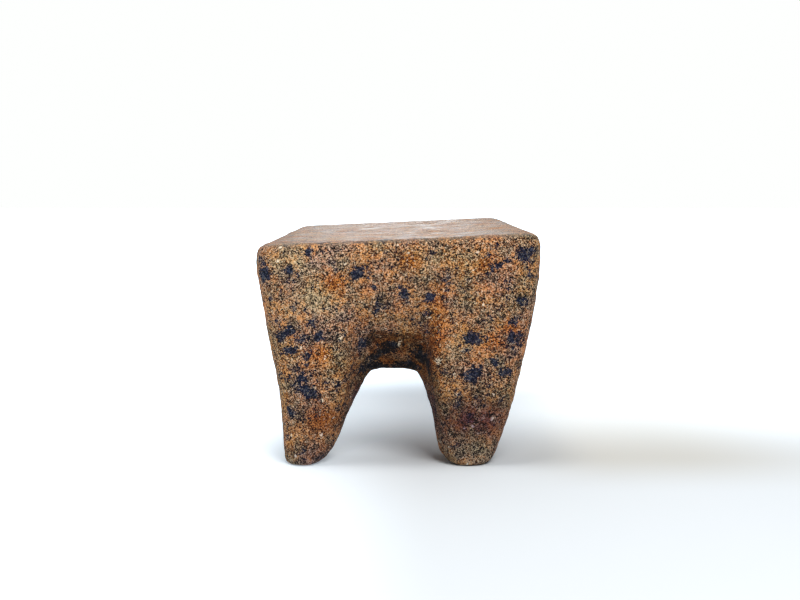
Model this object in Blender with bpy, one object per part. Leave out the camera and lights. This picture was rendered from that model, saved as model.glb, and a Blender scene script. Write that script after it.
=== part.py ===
"""A four-legged grinding stone, carved from one block of coarse reddish stone.

X runs across the stone, Y along it with the better seen end at -Y, and Z up from the floor under its soles.
The stone is one closed body: a lattice of blocks, with blocks left out between the legs, whose points are
moved to the stone's real edges, and then rounded by subdivision.
"""

import math

import bmesh
import bpy

# Overall sizes, in metres
LENGTH = 0.295
TOP_WIDTH = 0.1546
LEG_HEIGHT = 0.0515
SLAB_THICKNESS = 0.0718
TOP_RISE = 0.0068

# Rounding: the radius along the rim of the top, how far the upright corners are cut back, and how sharp the edges
# round the soles and along the top of the arch stay, from 0, rounded, to 1
RIM_RADIUS = 0.0062
CORNER_CUT = 0.0040
SOLE_SHARPNESS = 0.45
ARCH_SHARPNESS = 0.30

# Legs seen from the end: how far each edge lies from the middle of the stone, and the wall of the hollow beside the
# leg, by its place between the leg's ridge and inner edge and its depth
LEFT_LEG = {
    "sole_outer": 0.0622,
    "toe_outer": 0.0632,
    "root_outer": 0.0672,
    "brow_outer": 0.0717,
    "shoulder_outer": 0.0738,
    "outer_bow": -0.0010,
    "sole_inner": 0.0440,
    "toe_inner": 0.0358,
    "root_inner": 0.0180,
    "inner_bow": 0.0000,
    "sole_ridge": 0.0480,
    "toe_ridge": 0.0420,
    "root_ridge": 0.0290,
    "wall_share": 0.45,
    "wall_depth": 0.0110,
}
RIGHT_LEG = {
    "sole_outer": 0.0500,
    "toe_outer": 0.0540,
    "root_outer": 0.0668,
    "brow_outer": 0.0714,
    "shoulder_outer": 0.0754,
    "outer_bow": 0.0009,
    "sole_inner": 0.0285,
    "toe_inner": 0.0212,
    "root_inner": 0.0125,
    "inner_bow": 0.0020,
    "sole_ridge": 0.0340,
    "toe_ridge": 0.0275,
    "root_ridge": 0.0222,
    "wall_share": 0.60,
    "wall_depth": 0.0155,
}

# Legs seen from the side: how far they reach from the end of the stone
LEG_LENGTH = 0.058
SOLE_REACH = 0.041
TOE_REACH = 0.044

# Ends: how far they draw in below the rim
SOLE_DRAW = 0.0080
TOE_DRAW = 0.0075
ROOT_DRAW = 0.0050
SHOULDER_DRAW = 0.0012

# Hollow cut into each end between its legs, below an upright lip, and the shallower one along a side
LIP_HEIGHT = 0.0328
HOLLOW_DEPTH = 0.0180
SIDE_HOLLOW_DEPTH = 0.0060

# Levels up the stone. A share places a level between the toe and the root, or the root and the shoulder
TOE_HEIGHT = 0.0060
SOLE, TOE, SHIN, KNEE, ROOT, BROW, SHOULDER, RIM, TOP = range(9)
LEG_SHARES = {TOE: 0.0, SHIN: 0.33, KNEE: 0.66, ROOT: 1.0}
BROW_SHARE = 0.48

# How much of the hollow's depth is cut at each level
HOLLOW_SHARES = {SOLE: 0.35, TOE: 0.55, SHIN: 0.75, KNEE: 0.9, ROOT: 1.0, BROW: 0.55}

# Columns across the stone: those of the left leg from its outer side in, the centre, and the right leg's
OUTER, BAND, MIDDLE, RIDGE, WALL, INNER, CENTRE = range(7)
LAST_COLUMN = 2 * CENTRE
MOST_BAND_SHARE = 0.30

# Rows along the stone: five across a leg, three in the gap, five across the other leg
BAND_SHARE = 2 * RIM_RADIUS / LEG_LENGTH
LEG_ROWS = (0.0, BAND_SHARE, 0.5, 1 - BAND_SHARE, 1.0)
LAST_LEG_ROW = len(LEG_ROWS) - 1
MIDDLE_ROW = LAST_LEG_ROW + 2
LAST_ROW = 2 * MIDDLE_ROW
GAP_BAND = 0.018

STONE_COLOUR = (0.212, 0.120, 0.068, 1.0)
STONE_ROUGHNESS = 0.85


def clear_scene():
    for obj in list(bpy.data.objects):
        bpy.data.objects.remove(obj, do_unlink=True)


def mix(start, end, share):
    return start + (end - start) * share


def leg_edge(leg, edge, level):
    """How far an edge of the leg lies from the middle of the stone, from the sole up to the root."""
    if level == SOLE:
        return leg["sole_" + edge]
    share = LEG_SHARES.get(level, 1.0)
    bow = leg.get(edge + "_bow", 0.0) * 4 * share * (1 - share)
    return mix(leg["toe_" + edge], leg["root_" + edge], share) + bow


def outer_edge(leg, level):
    if level <= ROOT:
        return leg_edge(leg, "outer", level)
    return {BROW: leg["brow_outer"], SHOULDER: leg["shoulder_outer"]}.get(level, TOP_WIDTH / 2)


def leg_of(column):
    return LEFT_LEG if column < CENTRE else RIGHT_LEG


def across(column, level):
    """The X of a column at a level."""
    if column == CENTRE:
        return (RIGHT_LEG["root_inner"] - LEFT_LEG["root_inner"]) / 2
    side = -1 if column < CENTRE else 1
    leg = leg_of(column)
    edge = min(column, LAST_COLUMN - column)
    outer = outer_edge(leg, level)
    inner = leg_edge(leg, "inner", level)
    ridge = leg_edge(leg, "ridge", level)
    band = min(2 * RIM_RADIUS, MOST_BAND_SHARE * (outer - inner))
    offsets = {
        OUTER: outer,
        BAND: outer - band,
        MIDDLE: (outer - band + ridge) / 2,
        RIDGE: ridge,
        WALL: mix(ridge, inner, leg["wall_share"]),
        INNER: inner,
    }
    return side * offsets[edge]


def end_draw(column, level):
    """How far the face of an end lies in from the end of the stone."""
    if level == SOLE:
        draw = SOLE_DRAW
    elif level <= ROOT:
        draw = mix(TOE_DRAW, ROOT_DRAW, LEG_SHARES[level])
    else:
        draw = {BROW: mix(ROOT_DRAW, SHOULDER_DRAW, BROW_SHARE), SHOULDER: SHOULDER_DRAW}.get(level, 0.0)
    edge = min(column, LAST_COLUMN - column)
    wall_depth = leg_of(column)["wall_depth"]
    hollow = {WALL: wall_depth, INNER: HOLLOW_DEPTH, CENTRE: HOLLOW_DEPTH}.get(edge, 0.0)
    return draw + hollow * HOLLOW_SHARES.get(level, 0.0)


def leg_reach(level):
    """How far a leg reaches from the end of the stone."""
    return SOLE_REACH if level == SOLE else mix(TOE_REACH, LEG_LENGTH, LEG_SHARES.get(level, 1.0))


def along(column, row, level):
    """The Y of a row at a level. The far half mirrors the near one."""
    if row > MIDDLE_ROW:
        return -along(column, LAST_ROW - row, level)
    if row == MIDDLE_ROW:
        return 0.0
    if row > LAST_LEG_ROW:
        return LEG_LENGTH + GAP_BAND - LENGTH / 2
    return mix(end_draw(column, level), leg_reach(level), LEG_ROWS[row]) - LENGTH / 2


def height(x, level):
    """The Z of a level, where the rim and the top rise to the right."""
    if level == SOLE:
        return 0.0
    if level <= ROOT:
        return mix(TOE_HEIGHT, LEG_HEIGHT, LEG_SHARES[level])
    shoulder = LEG_HEIGHT + SLAB_THICKNESS - LIP_HEIGHT
    if level <= SHOULDER:
        return mix(LEG_HEIGHT, shoulder, {BROW: BROW_SHARE, SHOULDER: 1.0}[level])
    top = LEG_HEIGHT + SLAB_THICKNESS + TOP_RISE * x / TOP_WIDTH
    return top - 2 * RIM_RADIUS if level == RIM else top


def towards_middle(place, distance):
    return place - math.copysign(distance, place)


def lattice_point(column, row, level):
    x = across(column, level)
    y = along(column, row, level)
    on_side = column in (0, LAST_COLUMN)
    on_end = row in (0, LAST_ROW)
    in_gap = LAST_LEG_ROW < row < LAST_ROW - LAST_LEG_ROW
    if on_side and on_end:
        x = towards_middle(x, CORNER_CUT)
        y = towards_middle(y, CORNER_CUT)
    if on_side and in_gap and level in (ROOT, BROW):
        x = towards_middle(x, SIDE_HOLLOW_DEPTH * HOLLOW_SHARES[level])
    return x, y, height(x, level)


def is_stone(column, row, level):
    """Whether the block above this lattice point is stone: all blocks of the slab, and those of the legs."""
    if not (0 <= column < LAST_COLUMN and 0 <= row < LAST_ROW and 0 <= level < TOP):
        return False
    in_leg_column = column < INNER or column >= LAST_COLUMN - INNER
    in_leg_row = row < LAST_LEG_ROW or row >= LAST_ROW - LAST_LEG_ROW
    return level >= ROOT or (in_leg_column and in_leg_row)


# The six faces of a block: the step to its neighbour, and its corners in turn as seen from outside
BLOCK_FACES = (
    ((-1, 0, 0), ((0, 0, 0), (0, 0, 1), (0, 1, 1), (0, 1, 0))),
    ((1, 0, 0), ((1, 0, 0), (1, 1, 0), (1, 1, 1), (1, 0, 1))),
    ((0, -1, 0), ((0, 0, 0), (1, 0, 0), (1, 0, 1), (0, 0, 1))),
    ((0, 1, 0), ((0, 1, 0), (0, 1, 1), (1, 1, 1), (1, 1, 0))),
    ((0, 0, -1), ((0, 0, 0), (0, 1, 0), (1, 1, 0), (1, 0, 0))),
    ((0, 0, 1), ((0, 0, 1), (1, 0, 1), (1, 1, 1), (0, 1, 1))),
)


def edge_sharpness(edge, places):
    """How sharp an edge of the cage stays when it is rounded: those round the soles, and along the arch's top."""
    columns = {places[corner][0] for corner in edge.verts}
    levels = {places[corner][2] for corner in edge.verts}
    under_sole = [all(places[corner][2] == SOLE for corner in face.verts) for face in edge.link_faces]
    if any(under_sole) and not all(under_sole):
        return SOLE_SHARPNESS
    if levels == {ROOT} and (columns == {INNER} or columns == {LAST_COLUMN - INNER}):
        return ARCH_SHARPNESS
    return 0.0


def stone_cage():
    """The outer faces of all blocks of stone."""
    bm = bmesh.new()
    corners = {}

    def corner(*place):
        if place not in corners:
            corners[place] = bm.verts.new(lattice_point(*place))
        return corners[place]

    for column in range(LAST_COLUMN):
        for row in range(LAST_ROW):
            for level in range(TOP):
                if not is_stone(column, row, level):
                    continue
                for (dx, dy, dz), ends in BLOCK_FACES:
                    if is_stone(column + dx, row + dy, level + dz):
                        continue
                    bm.faces.new([corner(column + i, row + j, level + k) for i, j, k in ends])
    places = {corner: place for place, corner in corners.items()}
    sharpness = bm.edges.layers.float.new("crease_edge")
    for edge in bm.edges:
        edge[sharpness] = edge_sharpness(edge, places)
    return bm


def stone_material():
    material = bpy.data.materials.new("reddish_stone")
    material.use_nodes = True
    shader = material.node_tree.nodes["Principled BSDF"]
    shader.inputs["Base Color"].default_value = STONE_COLOUR
    shader.inputs["Roughness"].default_value = STONE_ROUGHNESS
    shader.inputs["Metallic"].default_value = 0.0
    material.diffuse_color = STONE_COLOUR
    return material


def make_grinding_stone():
    mesh = bpy.data.meshes.new("grinding_stone")
    bm = stone_cage()
    bm.to_mesh(mesh)
    bm.free()
    mesh.shade_smooth()
    mesh.materials.append(stone_material())
    stone = bpy.data.objects.new("grinding_stone", mesh)
    bpy.context.scene.collection.objects.link(stone)
    rounding = stone.modifiers.new("rounding", "SUBSURF")
    rounding.levels = 1
    rounding.render_levels = 1
    return stone


clear_scene()
make_grinding_stone()
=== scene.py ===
"""The looks of a four-legged grinding stone: speckled stone with a worn grinding face, on a pale floor.

X runs across the stone, Y along it with the seen end at -Y, and Z up from the floor. Lengths are in metres.
"""

import math
import random

import bmesh
import bpy
import numpy as np
from mathutils import Euler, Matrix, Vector, noise
from mathutils.bvhtree import BVHTree


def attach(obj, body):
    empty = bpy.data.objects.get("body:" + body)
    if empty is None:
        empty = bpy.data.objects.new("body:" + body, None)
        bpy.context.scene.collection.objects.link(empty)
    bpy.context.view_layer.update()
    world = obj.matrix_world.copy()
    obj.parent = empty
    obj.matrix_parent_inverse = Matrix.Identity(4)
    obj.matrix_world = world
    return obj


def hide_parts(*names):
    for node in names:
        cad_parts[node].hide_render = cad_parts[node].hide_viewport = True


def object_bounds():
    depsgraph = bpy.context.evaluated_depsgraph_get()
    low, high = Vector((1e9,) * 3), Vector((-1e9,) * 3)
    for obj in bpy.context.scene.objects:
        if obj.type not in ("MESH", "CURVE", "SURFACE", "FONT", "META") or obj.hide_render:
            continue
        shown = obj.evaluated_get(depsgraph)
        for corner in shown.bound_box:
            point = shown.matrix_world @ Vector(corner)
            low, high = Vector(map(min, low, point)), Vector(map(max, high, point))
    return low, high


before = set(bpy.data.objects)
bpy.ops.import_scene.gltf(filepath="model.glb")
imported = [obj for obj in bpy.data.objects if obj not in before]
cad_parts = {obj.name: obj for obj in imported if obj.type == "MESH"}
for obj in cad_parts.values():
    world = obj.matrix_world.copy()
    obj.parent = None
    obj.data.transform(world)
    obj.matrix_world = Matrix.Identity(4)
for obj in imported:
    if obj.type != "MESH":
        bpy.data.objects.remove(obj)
cad_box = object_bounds()

MM = 0.001

# Camera: where it stands, how far it looks down, and its focal length in pixels of an 800 x 600 image
CAMERA_PLACE = (0.00095, -0.80317, 0.15418)
CAMERA_DIP = 5.4836
FOCAL_PIXELS = 1250.0
IMAGE_WIDTH = 800.0
SENSOR_WIDTH = 36.0

# Light: a white backdrop, and a surrounding brighter behind the stone, with the span over which it changes
BACKDROP_COLOUR = (0.99, 1.0, 0.99, 1.0)
SURROUNDING_COLOUR = (0.92, 0.96, 1.0, 1.0)
SURROUNDING_BEHIND = 0.70
SURROUNDING_AHEAD = 0.30
SURROUNDING_SPAN = (-0.5, 0.5)

# Soft lamps, each with its place, its aim, its sides and its power
LAMPS = {
    "overhead_lamp": ((-0.12, -0.25, 1.30), (0.0, -0.12, 0.0), (0.35, 0.35), 6.5),
    "key_lamp": ((0.34, -0.90, 1.10), (0.0, -0.10, 0.05), (0.60, 0.60), 11.6),
    "back_lamp": ((-0.02, 1.30, 0.42), (0.0, 0.15, 0.0), (0.30, 0.30), 1.9),
}

# Floor: its size, colour and roughness, a painted shadow by the stone, and painted glows (strength, start,
# end)
FLOOR_SIDE = 12.0
FLOOR_COLOUR = (0.67, 0.70, 0.72, 1.0)
FLOOR_PAINTED_SHADOW = (0.55, 0.54, 0.50, 1.0)
FLOOR_ROUGHNESS = 0.8
PAINTED_SHADOW_ACROSS = ((0.05, 0.12), (0.15, 0.28))
PAINTED_SHADOW_ALONG = (-0.20, -0.11)
GLOW_COLOUR = (0.78, 0.90, 1.0, 1.0)
GLOWS_ALONG = ((0.50, -0.13, 0.04), (0.30, 0.08, 0.17))
GLOWS_ACROSS = ((0.35, 0.02, -0.06), (0.25, -0.05, -0.08))
GLOWS_AWAY = ((1.0, 0.35, 1.0),)

# Stone mesh: how near its points are joined, the side of its faces, and how often corners are evened out
JOIN_REACH = 0.01 * MM
FACE_SIDE = 1.42 * MM
EVENING = 5

# Relief: the size, height and noise shift of broad lumps, of peck marks and of the grain
BROAD_SIZE = 35 * MM
BROAD_HEIGHT = 0.8 * MM
BROAD_SHIFT = 3.0
PECK_SIZE = 9 * MM
PECK_HEIGHT = 0.30 * MM
PECK_SHIFT = 11.0
PECK_OCTAVES = 2
GRAIN_SIZE = 2.8 * MM
GRAIN_HEIGHT = 0.30 * MM
GRAIN_SHIFT = 23.0

# Pits: their size and noise shift, the noise from which they start, and their depth
PIT_SIZE = 4.5 * MM
PIT_SHIFT = 41.0
PIT_START = 0.34
PIT_DEPTH = 1.6 * MM

# Grinding face: how far up it faces where it starts and is full, its least height, its relief and its hollow
WORN_FACING = (0.72, 0.97)
WORN_FROM = 0.09
WORN_RELIEF = 0.16
TOP_HOLLOW = 0.7 * MM

# Soles: how high they reach, and how much of the relief they lose
SOLE_ZONE = 2.5 * MM
SOLE_CALM = 0.9

# Recess between the legs of each end: where its sides, top and end part start and are full, and its depth
RECESS_LEFT = (-30 * MM, -10 * MM)
RECESS_RIGHT = (19.5 * MM, 14.5 * MM)
RECESS_TOP = (90 * MM, 58 * MM)
RECESS_END = (100 * MM, 118 * MM)
RECESS_CUT = 4.0 * MM

# Ridge at the right of the recess
RIDGE_PLACE = 22 * MM
RIDGE_REACH = 4 * MM
RIDGE_HEIGHT = 1.3 * MM

# Rim of the arch: where it starts and is full in height, across and in facing, and how much is filled in
RIM_LOW = (22 * MM, 46 * MM)
RIM_HIGH = (66 * MM, 60 * MM)
RIM_ACROSS = (50 * MM, 40 * MM)
RIM_FACING = (1.0, 0.75)
RIM_FILL = 1.6 * MM

# Painted shade and soil: its tint high up and low down, the heights between which that changes, and the
# clumps it follows
SHADE_AND_SOIL_TINT = (152, 130, 104)
LOW_SHADE_AND_SOIL_TINT = (132, 108, 152)
LOW_TINT_HEIGHTS = (48 * MM, 36 * MM)
SHADE_AND_SOIL_CLUMPS = (0.1, 0.5)

# Painted shade and soil of the recess, high up and low down, and the heights between which it changes
RECESS_SHADE_AND_SOIL = (0.35, 1.0)
RECESS_SHADE_AND_SOIL_LOW = (68 * MM, 54 * MM)

# Painted shade and soil of the feet away from the seen end: its share, and the heights where it is full and
# where it ends
FOOT_SHADE_AND_SOIL = 0.5
FOOT_ZONE = (4 * MM, 40 * MM)

# Shelter, painted as shade and soil: its rays' reach, lift, number and least facing, and the shares where
# that starts and is full
SHELTER_REACH = 60 * MM
SHELTER_LIFT = 2 * MM
SKY_RAYS = 28
LEAST_FACING = 0.1
SHELTER_SHADE_RANGE = (0.04, 0.35)

# Chip in the grinding face: its middle, half its length and width, its depth, and how soon it fades
CHIP_PLACE = (20 * MM, -62 * MM)
CHIP_REACH = (7 * MM, 3.2 * MM)
CHIP_DEPTH = 1.5 * MM
CHIP_FADE = 1.5

# Patches of the seen end, in millimetres and degrees: middle across and up, half width and height, and tilt
DARK_PATCHES = (
    (-21, 105, 5.0, 2.8, 32),
    (3, 94, 2.8, 2.6, 0),
    (-10, 88, 2.0, 1.7, 0),
    (-13, 98, 1.6, 1.4, 0),
    (-47, 116, 2.6, 2.6, 50),
    (-57, 107, 2.4, 2.0, 40),
    (-71, 104, 2.2, 4.2, 0),
    (27, 100, 1.6, 1.6, 0),
    (17, 93, 2.6, 2.0, 0),
    (-58, 74, 4.2, 2.8, 20),
    (-46, 78, 3.0, 2.6, 30),
    (-52, 70, 4.6, 3.2, 10),
    (-42, 72, 2.8, 2.8, 0),
    (-57, 64, 4.6, 2.8, 0),
    (-19, 66, 3.4, 2.6, 20),
    (-4, 65, 7.0, 1.8, 0),
    (-51, 48, 3.0, 2.4, 0),
    (-48, 42, 4.6, 4.4, -30),
    (-58, 30, 2.8, 2.4, 0),
    (60, 79, 2.8, 2.2, 0),
    (63, 69, 5.2, 3.8, 0),
    (39, 71, 4.8, 3.2, 0),
    (42, 53, 4.6, 3.0, 35),
    (38, 50, 3.8, 2.2, -35),
    (58, 52, 3.4, 3.0, 0),
    (54, 110, 5.2, 1.8, 25),
    (66, 116, 5.2, 3.0, 10),
    (-62, 71, 4.0, 3.0, 0),
    (-50, 61, 3.4, 2.6, 20),
    # The next two patches, along the arch's edge where it turns under, are painted shade, not dark grains
    (-12, 52, 10.0, 2.6, 0),
    (4, 52, 11.0, 2.6, 0),
    (-10, 60, 7.0, 2.0, 15),
    # Painted shade in the recess's right corner, not dark grains
    (13, 58, 3.0, 6.0, 30),
    (51, 57, 3.0, 2.6, 0),
    (66, 90, 2.6, 2.2, 0),
)
PALE_PATCHES = (
    (17, 110, 4.0, 6.5, 0),
    (-38, 93, 7.0, 5.0, 0),
    (27, 62, 4.0, 7.0, 0),
    (-30, 84, 5.0, 4.0, 0),
    (38, 4, 16.0, 9.0, 0),
    (-52, 1, 10.0, 5.0, 0),
    (-48, 112, 18.0, 8.0, 0),
    (-44, 90, 14.0, 10.0, 0),
)
RUST_PATCHES = (
    (20, 72, 4.5, 22.0, 0),
    (46, 109, 4.5, 4.0, 0),
    (59, 76, 5.0, 3.0, -20),
    (-42, 26, 8.0, 5.0, 0),
    (-41, 62, 5.0, 4.0, 0),
    (-34, 100, 6.0, 4.0, 20),
    (6, 112, 6.0, 4.0, 0),
    (52, 68, 6.0, 3.0, -30),
)
# Patches of painted shade and soil: the right leg low down, the arch's edge, the right leg's inner edge and
# the recess's corner
SHADE_AND_SOIL_PATCHES = (
    (40, 26, 22.0, 12.0, 0),
    (-4, 54, 22.0, 5.0, 0),
    (18, 33, 2.8, 24.0, 15),
    (13, 60, 4.0, 12.0, 10),
)
# Fainter patches of painted shade and soil on the left leg, its foot and its inner edge
FAINT_SHADE_AND_SOIL_PATCHES = (
    (-40, 24, 12.0, 10.0, 0),
    (-46, 4, 16.0, 9.0, 0),
    (-29, 31, 3.0, 22.0, -25),
)
SPARKLE_PATCHES = (
    (21, 58, 1.3, 1.5, 0),
    (0.5, 66, 0.9, 0.9, 0),
    (-38.6, 60, 0.9, 0.9, 0),
    (-40.8, 37, 0.8, 0.8, 0),
    (-57.6, 17, 0.8, 0.8, 0),
    (30.5, 51, 0.9, 0.9, 0),
    (31, 40, 0.8, 0.8, 0),
    (17, 101, 0.9, 0.9, 0),
    (-31, 70, 0.8, 0.8, 0),
)

# How soon every patch fades from its middle, and the strength of the faint patches of painted shade and soil
PATCH_FADE = 0.8
FAINT_SHADE_AND_SOIL = 0.5

# Seen end: its depth, the share of that where it starts to fade, and how far a point must face out of it
SEEN_END_DEPTH = 38 * MM
SEEN_END_START = 0.6
SEEN_END_FACING = (0.1, 0.4)

# Patches of the rest of the stone: their number, their least and greatest reach, and what wear takes away
OTHER_DARK_PATCHES = 300
OTHER_DARK_REACH = (2 * MM, 6 * MM)
OTHER_RUST_PATCHES = 90
OTHER_RUST_REACH = (3 * MM, 9 * MM)
OTHER_WORN_LOSS = 0.6
SEED = 11

# Attributes of the mesh that tell the material where its patches are
FIELD_NAMES = ("dark", "rust", "pale", "soil_and_shade", "sparkle", "wear")

# Textures of the stone: grains of three sizes, as many to a metre, and noises as (scale, detail, roughness)
GRAINS = 1750.0
CRYSTALS = 780.0
SPOTS = 430.0
NOISES = {
    "fine": (2800.0, 1.0, 0.5),
    "clump": (260.0, 3.0, 0.6),
    "patch": (75.0, 3.0, 0.6),
    "zone": (48.0, 2.0, 0.5),
    "stain": (110.0, 2.0, 0.55),
}
SWAY_SCALE = 900.0
SWAY_REACH = 0.9 * MM

# Colours of the common grains by their level, and how level and redness follow from the textures
GREY_BROWN = (
    (0.00, (8, 10, 14)),
    (0.22, (34, 30, 28)),
    (0.42, (80, 63, 50)),
    (0.60, (120, 95, 72)),
    (0.80, (164, 132, 100)),
    (1.00, (226, 198, 164)),
)
ORANGE_BROWN = (
    (0.00, (18, 10, 8)),
    (0.22, (60, 30, 16)),
    (0.42, (114, 60, 28)),
    (0.60, (162, 88, 38)),
    (0.80, (196, 116, 56)),
    (1.00, (232, 170, 106)),
)
LEVEL_START = 0.465
LEVEL_WEIGHTS = (("tone", 1.45), ("fine", 3.3), ("crystal", 0.25), ("clump", 1.30), ("patch", 1.25))
PALE_LEVEL = 0.12
REDNESS_START = 0.49
REDNESS_WEIGHTS = (("hue", 0.8), ("clump", 2.2), ("patch", 2.8))
RUST_REDNESS = 0.7
PALE_REDNESS_LOSS = 0.45
RUST_TINT = (252, 228, 182)

# Faint tints of whole zones of the stone, and the span of the texture between them
OLIVE_TINT = (244, 246, 232)
PLUM_TINT = (242, 232, 240)
ZONE_SPAN = (0.38, 0.62)

# Dark grains: their colours by their level, and the chance and the pick that decide which grains are dark
BLUE_BLACK = (
    (0.15, (0, 1, 6)),
    (0.55, (0, 14, 46)),
    (0.82, (12, 42, 78)),
    (1.00, (96, 98, 98)),
)
DARK_START = 0.45
DARK_WEIGHTS = (("tone", 0.9), ("fine", 2.2), ("crystal", 0.3))
PATCH_CHANCE = 1.05
STAIN_CHANCE = (0.42, 0.72, 0.08, 0.62)
PICK_START = 0.5
PICK_WEIGHTS = (("spot", 0.62), ("pick", 0.35), ("tone", 0.50), ("fine", 1.2))
DARK_EDGE = (0.0, 0.10, 0.0, 0.97)

# Pale specks, and glints that are painted highlights: the span of their edge, their colour, and the share
# left in dark grains
SPECK_SPAN = (0.955, 0.965, 0.0, 0.7)
SPECK_COLOUR = (232, 204, 168)
GLINT_SPAN = (0.9962, 0.9985)
GLINT_COLOUR = (240, 222, 194)
LIGHT_IN_DARK = 0.2

# Sparkles, painted highlights of the seen end: how likely they are in their patches, their edge's span and
# their colour
SPARKLE_CHANCE = 0.75
SPARKLE_EDGE = (1.0, 1.1, 0.0, 0.9)
SPARKLE_COLOUR = (250, 232, 200)

# Tint of the pale feet, and the colour of the worn face with its share
LOW_PALE_TINT = (232, 243, 255)
WORN_COLOUR = (114, 100, 84)
WORN_COLOUR_SHARE = 0.28

# Gloss: the roughness of rough stone, the texture's span and roughness on the worn face, and the reflection
ROUGH_ROUGHNESS = 0.90
WORN_ROUGHNESS = (0.35, 0.65, 0.40, 0.66)
STONE_IOR = 1.5
STONE_SPECULAR = 0.2

# Fine relief: what it is made of, its strength when rough and when worn, and its height
BUMP_START = 0.5
BUMP_WEIGHTS = (("edge", -0.6), ("fine", 0.7), ("tone", 0.5), ("clump", 0.8))
BUMP_STRENGTHS = (0.80, 0.38)
BUMP_HEIGHT = 0.45 * MM


def srgb(red, green, blue):
    """A colour given as 0 to 255 on screen, as linear values."""
    shares = [value / 255 for value in (red, green, blue)]
    return [s / 12.92 if s <= 0.04045 else ((s + 0.055) / 1.055) ** 2.4 for s in shares] + [1.0]


def make_camera():
    data = bpy.data.cameras.new("camera")
    data.sensor_width = SENSOR_WIDTH
    data.lens = FOCAL_PIXELS * SENSOR_WIDTH / IMAGE_WIDTH
    camera = bpy.data.objects.new("camera", data)
    camera.location = CAMERA_PLACE
    camera.rotation_euler = (math.radians(90 - CAMERA_DIP), 0.0, 0.0)
    bpy.context.scene.collection.objects.link(camera)
    bpy.context.scene.camera = camera


def make_world():
    """A soft surrounding that lights the stone, and a white backdrop where it is seen directly."""
    world = bpy.data.worlds.new("white_surrounding")
    world.use_nodes = True
    tree = world.node_tree
    background = tree.nodes["Background"]
    background.inputs["Color"].default_value = SURROUNDING_COLOUR
    way = add_node(tree, "ShaderNodeTexCoord").outputs["Generated"]
    ahead = add_node(tree, "ShaderNodeSeparateXYZ", {0: way}).outputs["Y"]
    strength = rescale(tree, ahead, *SURROUNDING_SPAN, SURROUNDING_AHEAD, SURROUNDING_BEHIND, smooth=True)
    tree.links.new(strength, background.inputs["Strength"])
    backdrop = add_node(tree, "ShaderNodeBackground", {"Color": BACKDROP_COLOUR, "Strength": 1.0})
    seen = add_node(tree, "ShaderNodeLightPath").outputs["Is Camera Ray"]
    inputs = {0: seen, 1: background.outputs[0], 2: backdrop.outputs[0]}
    mixed = add_node(tree, "ShaderNodeMixShader", inputs)
    tree.links.new(mixed.outputs[0], tree.nodes["World Output"].inputs["Surface"])
    bpy.context.scene.world = world


def make_lamp(name, place, aim, sides, power):
    data = bpy.data.lights.new(name, "AREA")
    data.shape = "RECTANGLE"
    data.size, data.size_y = sides
    data.energy = power
    lamp = bpy.data.objects.new(name, data)
    lamp.location = place
    lamp.rotation_euler = (Vector(aim) - Vector(place)).to_track_quat("-Z", "Y").to_euler()
    lamp.visible_camera = False
    bpy.context.scene.collection.objects.link(lamp)


def make_light():
    bpy.context.scene.view_settings.view_transform = "Standard"
    make_world()
    for name, settings in LAMPS.items():
        make_lamp(name, *settings)


def add_node(tree, kind, inputs=(), **settings):
    """A shader node whose inputs are given by name or index, each as a value or as another node's output."""
    made = tree.nodes.new(kind)
    for name, value in settings.items():
        setattr(made, name, value)
    for key, value in dict(inputs).items():
        if isinstance(value, bpy.types.NodeSocket):
            tree.links.new(value, made.inputs[key])
        else:
            made.inputs[key].default_value = value
    return made


def calc(tree, operation, first, second=0.0, clamp=False):
    inputs = {0: first, 1: second}
    return add_node(tree, "ShaderNodeMath", inputs, operation=operation, use_clamp=clamp).outputs[0]


def rescale(tree, value, low, high, new_low=0.0, new_high=1.0, smooth=False):
    """The value, with the span from low to high carried to new_low to new_high, and held at their ends."""
    kind = "SMOOTHSTEP" if smooth else "LINEAR"
    inputs = {"Value": value, "From Min": low, "From Max": high, "To Min": new_low, "To Max": new_high}
    return add_node(tree, "ShaderNodeMapRange", inputs, interpolation_type=kind).outputs["Result"]


def tint(tree, share, under, over, how="MIX"):
    inputs = {0: share, 6: under, 7: over}
    return add_node(tree, "ShaderNodeMix", inputs, data_type="RGBA", blend_type=how).outputs[2]


def noise_at(tree, place, scale, detail, roughness):
    inputs = {"Vector": place, "Scale": scale, "Detail": detail, "Roughness": roughness}
    return add_node(tree, "ShaderNodeTexNoise", inputs).outputs["Fac"]


def grains_at(tree, place, scale):
    """Three random values for each grain of a size, and the distance to its middle."""
    cells = add_node(tree, "ShaderNodeTexVoronoi", {"Vector": place, "Scale": scale})
    parts = add_node(tree, "ShaderNodeSeparateColor", {"Color": cells.outputs["Color"]})
    return [*parts.outputs, cells.outputs["Distance"]]


def ramp(tree, value, stops):
    made = add_node(tree, "ShaderNodeValToRGB", {"Fac": value})
    elements = made.color_ramp.elements
    while len(elements) < len(stops):
        elements.new(0.5)
    for element, (place, colour) in zip(elements, stops):
        element.position = place
        element.color = srgb(*colour)
    return made.outputs["Color"]


def attribute(tree, name):
    return add_node(tree, "ShaderNodeAttribute", attribute_name=name).outputs["Fac"]


def weighted(tree, start, textures, weights):
    """start plus each named texture's distance from one half, times its weight."""
    total = start
    for name, weight in weights:
        centred = calc(tree, "SUBTRACT", textures[name], 0.5)
        total = calc(tree, "ADD", total, calc(tree, "MULTIPLY", centred, weight))
    return total


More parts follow.
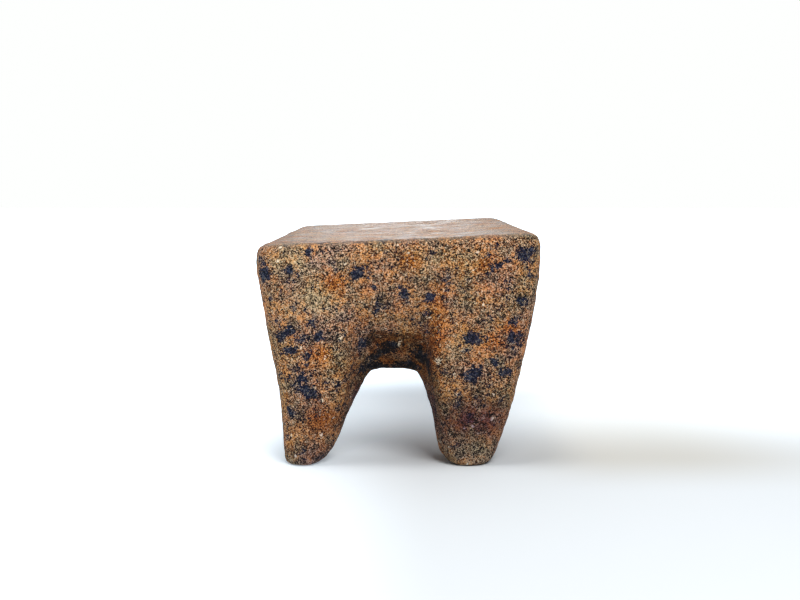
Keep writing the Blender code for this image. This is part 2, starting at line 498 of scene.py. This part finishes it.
def swayed_place(tree, place):
    """The place on the stone, shifted a little at random, which makes the grains ragged."""
    sway = add_node(tree, "ShaderNodeTexNoise", {"Vector": place, "Scale": SWAY_SCALE, "Detail": 1.0})
    inputs = {0: sway.outputs["Color"], 1: (0.5, 0.5, 0.5)}
    shift = add_node(tree, "ShaderNodeVectorMath", inputs, operation="SUBTRACT").outputs[0]
    inputs = {0: shift, "Scale": SWAY_REACH}
    shift = add_node(tree, "ShaderNodeVectorMath", inputs, operation="SCALE").outputs[0]
    return add_node(tree, "ShaderNodeVectorMath", {0: place, 1: shift}, operation="ADD").outputs[0]


def stone_textures(tree, place):
    """The random values that the stone's colour and fine relief are made of, by name."""
    tone, hue, speck, edge = grains_at(tree, place, GRAINS)
    crystal, glint, pick, _ = grains_at(tree, place, CRYSTALS)
    spot = grains_at(tree, place, SPOTS)[0]
    textures = {"tone": tone, "hue": hue, "speck": speck, "edge": edge}
    textures.update({"crystal": crystal, "glint": glint, "pick": pick, "spot": spot})
    for name, settings in NOISES.items():
        textures[name] = noise_at(tree, place, *settings)
    return textures


def common_colour(tree, textures, fields):
    """The colour of the grey-brown and orange-brown grains."""
    level = weighted(tree, LEVEL_START, textures, LEVEL_WEIGHTS)
    level = calc(tree, "ADD", level, calc(tree, "MULTIPLY", fields["pale"], PALE_LEVEL))
    redness = weighted(tree, REDNESS_START, textures, REDNESS_WEIGHTS)
    redness = calc(tree, "ADD", redness, calc(tree, "MULTIPLY", fields["rust"], RUST_REDNESS))
    loss = calc(tree, "MULTIPLY", fields["pale"], PALE_REDNESS_LOSS)
    redness = calc(tree, "SUBTRACT", redness, loss, clamp=True)
    colour = tint(tree, redness, ramp(tree, level, GREY_BROWN), ramp(tree, level, ORANGE_BROWN))
    zone = rescale(tree, textures["zone"], *ZONE_SPAN)
    olive_or_plum = tint(tree, zone, srgb(*OLIVE_TINT), srgb(*PLUM_TINT))
    colour = tint(tree, 1.0, colour, olive_or_plum, "MULTIPLY")
    return tint(tree, fields["rust"], colour, srgb(*RUST_TINT), "MULTIPLY")


def dark_share(tree, textures, fields):
    """How far each point lies in a dark grain."""
    chance = calc(tree, "MULTIPLY", fields["dark"], PATCH_CHANCE)
    chance = calc(tree, "ADD", chance, rescale(tree, textures["stain"], *STAIN_CHANCE))
    pick = weighted(tree, PICK_START, textures, PICK_WEIGHTS)
    return rescale(tree, calc(tree, "SUBTRACT", chance, pick), *DARK_EDGE)


def add_dark_and_light_grains(tree, colour, textures, fields):
    ragged = dark_share(tree, textures, fields)
    dark_level = weighted(tree, DARK_START, textures, DARK_WEIGHTS)
    light_share = rescale(tree, ragged, 0.0, 1.0, 1.0, LIGHT_IN_DARK)
    specks = calc(tree, "MULTIPLY", rescale(tree, textures["speck"], *SPECK_SPAN), light_share)
    glints = calc(tree, "MULTIPLY", rescale(tree, textures["glint"], *GLINT_SPAN), light_share)
    colour = tint(tree, ragged, colour, ramp(tree, dark_level, BLUE_BLACK))
    colour = tint(tree, specks, colour, srgb(*SPECK_COLOUR))
    return tint(tree, glints, colour, srgb(*GLINT_COLOUR))


def add_soil_and_shade(tree, colour, up, textures, fields):
    low = rescale(tree, up, *LOW_TINT_HEIGHTS)
    low_and_pale = calc(tree, "MULTIPLY", fields["pale"], low)
    colour = tint(tree, low_and_pale, colour, srgb(*LOW_PALE_TINT), "MULTIPLY")
    # Painted shade and soil: the colour is darkened by a tint that turns purpler low down
    darkening_tint = tint(tree, low, srgb(*SHADE_AND_SOIL_TINT), srgb(*LOW_SHADE_AND_SOIL_TINT))
    shaded_and_soiled = tint(tree, 1.0, colour, darkening_tint, "MULTIPLY")
    share = calc(tree, "MULTIPLY", fields["soil_and_shade"], rescale(tree, textures["clump"], *SHADE_AND_SOIL_CLUMPS))
    return tint(tree, share, colour, shaded_and_soiled)


def add_sparkles(tree, colour, textures, fields):
    sparkles = calc(tree, "MULTIPLY", fields["sparkle"], SPARKLE_CHANCE)
    sparkles = calc(tree, "ADD", textures["hue"], sparkles)
    return tint(tree, rescale(tree, sparkles, *SPARKLE_EDGE), colour, srgb(*SPARKLE_COLOUR))


def add_wear(tree, colour, fields):
    worn = tint(tree, WORN_COLOUR_SHARE, colour, srgb(*WORN_COLOUR))
    return tint(tree, fields["wear"], colour, worn)


def stone_roughness(tree, textures, fields):
    worn_rough = rescale(tree, textures["patch"], *WORN_ROUGHNESS)
    return rescale(tree, fields["wear"], 0.0, 1.0, ROUGH_ROUGHNESS, worn_rough)


def stone_bump(tree, textures, fields):
    height = weighted(tree, BUMP_START, textures, BUMP_WEIGHTS)
    strength = rescale(tree, fields["wear"], 0.0, 1.0, *BUMP_STRENGTHS)
    inputs = {"Height": height, "Strength": strength, "Distance": BUMP_HEIGHT}
    return add_node(tree, "ShaderNodeBump", inputs).outputs["Normal"]


def stone_material():
    material = bpy.data.materials.new("speckled_stone")
    material.use_nodes = True
    tree = material.node_tree
    shader = tree.nodes["Principled BSDF"]
    place = add_node(tree, "ShaderNodeTexCoord").outputs["Object"]
    up = add_node(tree, "ShaderNodeSeparateXYZ", {0: place}).outputs["Z"]
    textures = stone_textures(tree, swayed_place(tree, place))
    fields = {name: attribute(tree, name) for name in FIELD_NAMES}
    colour = common_colour(tree, textures, fields)
    colour = add_dark_and_light_grains(tree, colour, textures, fields)
    colour = add_soil_and_shade(tree, colour, up, textures, fields)
    colour = add_sparkles(tree, colour, textures, fields)
    tree.links.new(add_wear(tree, colour, fields), shader.inputs["Base Color"])
    tree.links.new(stone_roughness(tree, textures, fields), shader.inputs["Roughness"])
    tree.links.new(stone_bump(tree, textures, fields), shader.inputs["Normal"])
    shader.inputs["Metallic"].default_value = 0.0
    shader.inputs["IOR"].default_value = STONE_IOR
    shader.inputs["Specular IOR Level"].default_value = STONE_SPECULAR
    return material


def floor_material():
    material = bpy.data.materials.new("pale_floor")
    material.use_nodes = True
    tree = material.node_tree
    shader = tree.nodes["Principled BSDF"]
    place = add_node(tree, "ShaderNodeTexCoord").outputs["Object"]
    across, along, _ = add_node(tree, "ShaderNodeSeparateXYZ", {0: place}).outputs
    away = add_node(tree, "ShaderNodeVectorMath", {0: place}, operation="LENGTH").outputs["Value"]
    # Painted shadow: the floor's colour is dimmed in a band beside the stone's right, where its shade would
    # fall
    near_side, far_side = [rescale(tree, across, *limits, smooth=True) for limits in PAINTED_SHADOW_ACROSS]
    painted_shadow = calc(tree, "SUBTRACT", near_side, far_side)
    painted_shadow = calc(tree, "MULTIPLY", painted_shadow, rescale(tree, along, *PAINTED_SHADOW_ALONG, smooth=True))
    tree.links.new(tint(tree, painted_shadow, FLOOR_COLOUR, FLOOR_PAINTED_SHADOW), shader.inputs["Base Color"])
    shader.inputs["Roughness"].default_value = FLOOR_ROUGHNESS
    # Painted light: the floor glows under the stone, behind it, at its left and far off, lightening its
    # shade there
    glow = 0.0
    for value, glows in ((along, GLOWS_ALONG), (across, GLOWS_ACROSS), (away, GLOWS_AWAY)):
        for strength, low, high in glows:
            glow = calc(tree, "ADD", rescale(tree, value, low, high, 0.0, strength, smooth=True), glow)
    shader.inputs["Emission Color"].default_value = GLOW_COLOUR
    tree.links.new(glow, shader.inputs["Emission Strength"])
    return material


def make_floor():
    mesh = bpy.data.meshes.new("floor")
    bm = bmesh.new()
    bmesh.ops.create_grid(bm, x_segments=1, y_segments=1, size=FLOOR_SIDE / 2)
    bm.to_mesh(mesh)
    bm.free()
    mesh.materials.append(floor_material())
    floor = bpy.data.objects.new("floor", mesh)
    bpy.context.scene.collection.objects.link(floor)


def dense_copy(node):
    """A copy of the solid with small even faces, rounded until its facets are gone."""
    mesh = node.data.copy()
    bm = bmesh.new()
    bm.from_mesh(mesh)
    bmesh.ops.remove_doubles(bm, verts=bm.verts, dist=JOIN_REACH)
    bm.to_mesh(mesh)
    bm.free()
    stone = bpy.data.objects.new("stone_body", mesh)
    bpy.context.scene.collection.objects.link(stone)
    faces = stone.modifiers.new("even_faces", "REMESH")
    faces.mode = "VOXEL"
    faces.voxel_size = FACE_SIDE
    rounding = stone.modifiers.new("rounding", "SMOOTH")
    rounding.iterations = EVENING
    graph = bpy.context.evaluated_depsgraph_get()
    dense = bpy.data.meshes.new_from_object(stone.evaluated_get(graph))
    stone.modifiers.clear()
    stone.data = dense
    dense.name = "stone_body"
    dense.materials.clear()
    dense.shade_smooth()
    return stone


def read_vectors(collection, key):
    values = np.zeros(len(collection) * 3, np.float32)
    collection.foreach_get(key, values)
    return values.reshape(-1, 3).astype(float)


def lumps(points, size, shift, octaves=1):
    """Smooth noise between about -1 and 1, with lumps of this size."""
    away = Vector((shift, 2.0 * shift, -shift))
    return np.array([noise.fractal(Vector(p) / size + away, 1.0, 2.0, octaves) for p in points])


def smooth_step(values, start, end):
    share = np.clip((values - start) / (end - start), 0, 1)
    return share * share * (3 - 2 * share)


def recess_share(points):
    """How far each point lies in the recess between the legs of its end, from 0 to 1."""
    across = smooth_step(points[:, 0], *RECESS_LEFT) * smooth_step(points[:, 0], *RECESS_RIGHT)
    return across * smooth_step(points[:, 2], *RECESS_TOP) * smooth_step(np.abs(points[:, 1]), *RECESS_END)


def cut_recess(points, normals):
    """Deepens the recess of each end, raises the ridge at its right, and fills out the rim of the arch."""
    end = smooth_step(np.abs(points[:, 1]), *RECESS_END)
    ridge = np.exp(-(((points[:, 0] - RIDGE_PLACE) / RIDGE_REACH) ** 2))
    ridge = ridge * smooth_step(points[:, 2], *RECESS_TOP) * end
    inward = RECESS_CUT * recess_share(points) - RIDGE_HEIGHT * ridge
    rim = end * smooth_step(points[:, 2], *RIM_LOW) * smooth_step(points[:, 2], *RIM_HIGH)
    rim = rim * smooth_step(np.abs(points[:, 0]), *RIM_ACROSS)
    rim = rim * smooth_step(np.abs(normals[:, 1]), *RIM_FACING)
    points += normals * (RIM_FILL * rim)[:, None]
    points[:, 1] -= np.sign(points[:, 1]) * inward


def worn_share(points, normals):
    """How worn each point is: 1 on the grinding face, falling to 0 over its rim."""
    up = smooth_step(normals[:, 2], *WORN_FACING)
    return up * (points[:, 2] > WORN_FROM)


def top_hollow(points):
    """How deep each point lies in the hollow of the grinding face, from 0 at its sides to 1."""
    low, high = cad_box
    across = 1 - (2 * points[:, 0] / (high[0] - low[0])) ** 2
    along = 1 - (2 * points[:, 1] / (high[1] - low[1])) ** 2
    return np.clip(across * along, 0, 1)


def chip(points):
    """How deep each point lies in the chip, from 0 to 1."""
    across = ((points[:, 0] - CHIP_PLACE[0]) / CHIP_REACH[0]) ** 2
    along = ((points[:, 1] - CHIP_PLACE[1]) / CHIP_REACH[1]) ** 2
    return np.exp(-CHIP_FADE * (across + along))


def relief_height(points, worn):
    """How far the relief lifts each point of the surface."""
    rough = 1 - (1 - WORN_RELIEF) * worn
    height = BROAD_HEIGHT * (1 - worn) * lumps(points, BROAD_SIZE, BROAD_SHIFT)
    height += PECK_HEIGHT * rough * lumps(points, PECK_SIZE, PECK_SHIFT, PECK_OCTAVES)
    height += GRAIN_HEIGHT * rough * lumps(points, GRAIN_SIZE, GRAIN_SHIFT)
    pits = np.clip(lumps(points, PIT_SIZE, PIT_SHIFT) - PIT_START, 0, None)
    height -= PIT_DEPTH * rough * pits
    height -= TOP_HOLLOW * worn * top_hollow(points)
    height -= CHIP_DEPTH * worn * chip(points)
    sole = 1 - smooth_step(points[:, 2], 0.0, SOLE_ZONE)
    return height * (1 - SOLE_CALM * sole)


def shape_stone(stone):
    """Moves the points of the surface, and returns them, their first normals and how worn each one is."""
    points = read_vectors(stone.data.vertices, "co")
    normals = read_vectors(stone.data.vertices, "normal")
    worn = worn_share(points, normals)
    points += normals * relief_height(points, worn)[:, None]
    cut_recess(points, normals)
    low, high = cad_box
    points = np.clip(points, np.array(low), np.array(high))
    stone.data.vertices.foreach_set("co", points.astype(np.float32).ravel())
    stone.data.update()
    return points, normals, worn


def sky_rays():
    """Directions spread evenly over a sphere."""
    rays = []
    for index in range(SKY_RAYS):
        up = 1 - (2 * index + 1) / SKY_RAYS
        turn = index * math.pi * (3 - math.sqrt(5))
        level = math.sqrt(1 - up * up)
        rays.append(Vector((level * math.cos(turn), level * math.sin(turn), up)))
    return rays


def sheltered_share(node, points, normals):
    """How much of what lies in front of each point is hidden by the stone itself, from 0 to 1; shade is
    painted from it.
    """
    solid = bmesh.new()
    solid.from_mesh(node.data)
    tree = BVHTree.FromBMesh(solid)
    hidden = np.zeros(len(points))
    weight = np.zeros(len(points))
    for ray in sky_rays():
        facing = normals @ np.array(ray)
        for index in np.flatnonzero(facing > LEAST_FACING):
            start = Vector(points[index]) + SHELTER_LIFT * Vector(normals[index])
            weight[index] += facing[index]
            if tree.ray_cast(start, ray, SHELTER_REACH)[0] is not None:
                hidden[index] += facing[index]
    solid.free()
    return hidden / np.maximum(weight, LEAST_FACING)


def patch_field(points, near, patches):
    """How deep each point of the seen end lies in any of these patches, from 0 at its edge to 1."""
    deepest = np.zeros(len(points))
    for across, up, half_width, half_height, tilt in patches:
        turn = math.radians(tilt)
        dx = points[:, 0] / MM - across
        dz = points[:, 2] / MM - up
        along = (dx * math.cos(turn) + dz * math.sin(turn)) / half_width
        beside = (dz * math.cos(turn) - dx * math.sin(turn)) / half_height
        deepest = np.maximum(deepest, np.exp(-PATCH_FADE * (along**2 + beside**2)))
    return deepest * near


def scattered_field(points, far, count, chance, size_range):
    """The same for patches scattered over the rest of the stone."""
    deepest = np.zeros(len(points))
    for _ in range(count):
        middle = points[chance.randrange(len(points))]
        turn = Euler([chance.uniform(0, math.tau) for _ in range(3)]).to_matrix()
        reach = [chance.uniform(*size_range) for _ in range(3)]
        near = np.abs(points - middle).max(axis=1) < 4 * size_range[1]
        away = (points[near] - middle) @ np.array(turn) / np.array(reach)
        deepest[near] = np.maximum(deepest[near], np.exp(-PATCH_FADE * (away**2).sum(axis=1)))
    return deepest * far


def soil_and_shade_field(points, near, hidden):
    """How much painted shade and soil each point has, from its patch, its foot, its shelter and the recess,
    from 0 to 1.
    """
    # Feet away from the seen end are darker towards the floor: painted shade and soil
    foot = 1 - smooth_step(points[:, 2], *FOOT_ZONE)
    soil_and_shade = np.maximum(patch_field(points, near, SHADE_AND_SOIL_PATCHES), FOOT_SHADE_AND_SOIL * foot * (1 - near))
    soil_and_shade = np.maximum(soil_and_shade, FAINT_SHADE_AND_SOIL * patch_field(points, near, FAINT_SHADE_AND_SOIL_PATCHES))
    # Painted shade and soil where the stone shelters itself
    soil_and_shade = np.maximum(soil_and_shade, smooth_step(hidden, *SHELTER_SHADE_RANGE))
    # Painted shade and soil in the recess between the legs, fullest low down under the arch
    faint, full = RECESS_SHADE_AND_SOIL
    depth = faint + (full - faint) * smooth_step(points[:, 2], *RECESS_SHADE_AND_SOIL_LOW)
    return np.maximum(soil_and_shade, depth * recess_share(points))


def mark_stone(stone, points, normals, worn, hidden):
    """Writes the attributes from which the material takes its patches."""
    chance = random.Random(SEED)
    low, _ = cad_box
    near = 1 - smooth_step(points[:, 1] - low[1], SEEN_END_START * SEEN_END_DEPTH, SEEN_END_DEPTH)
    near = near * (1 - worn)
    facing = near * smooth_step(-normals[:, 1], *SEEN_END_FACING)
    far = (1 - facing) * (1 - OTHER_WORN_LOSS * worn)
    other_dark = scattered_field(points, far, OTHER_DARK_PATCHES, chance, OTHER_DARK_REACH)
    other_rust = scattered_field(points, far, OTHER_RUST_PATCHES, chance, OTHER_RUST_REACH)
    fields = {
        "dark": np.maximum(patch_field(points, facing, DARK_PATCHES), other_dark),
        "rust": np.maximum(patch_field(points, facing, RUST_PATCHES), other_rust),
        "pale": patch_field(points, facing, PALE_PATCHES),
        "soil_and_shade": soil_and_shade_field(points, near, hidden),
        "sparkle": patch_field(points, facing, SPARKLE_PATCHES),
        "wear": worn,
    }
    for name in FIELD_NAMES:
        layer = stone.data.attributes.new(name, "FLOAT", "POINT")
        layer.data.foreach_set("value", fields[name].astype(np.float32))


def make_stone():
    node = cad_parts["grinding_stone"]
    stone = dense_copy(node)
    points, normals, worn = shape_stone(stone)
    hidden = sheltered_share(node, points, normals)
    mark_stone(stone, points, normals, worn, hidden)
    stone.data.materials.append(stone_material())
    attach(stone, "root")
    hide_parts("grinding_stone")


make_camera()
make_light()
make_floor()
make_stone()
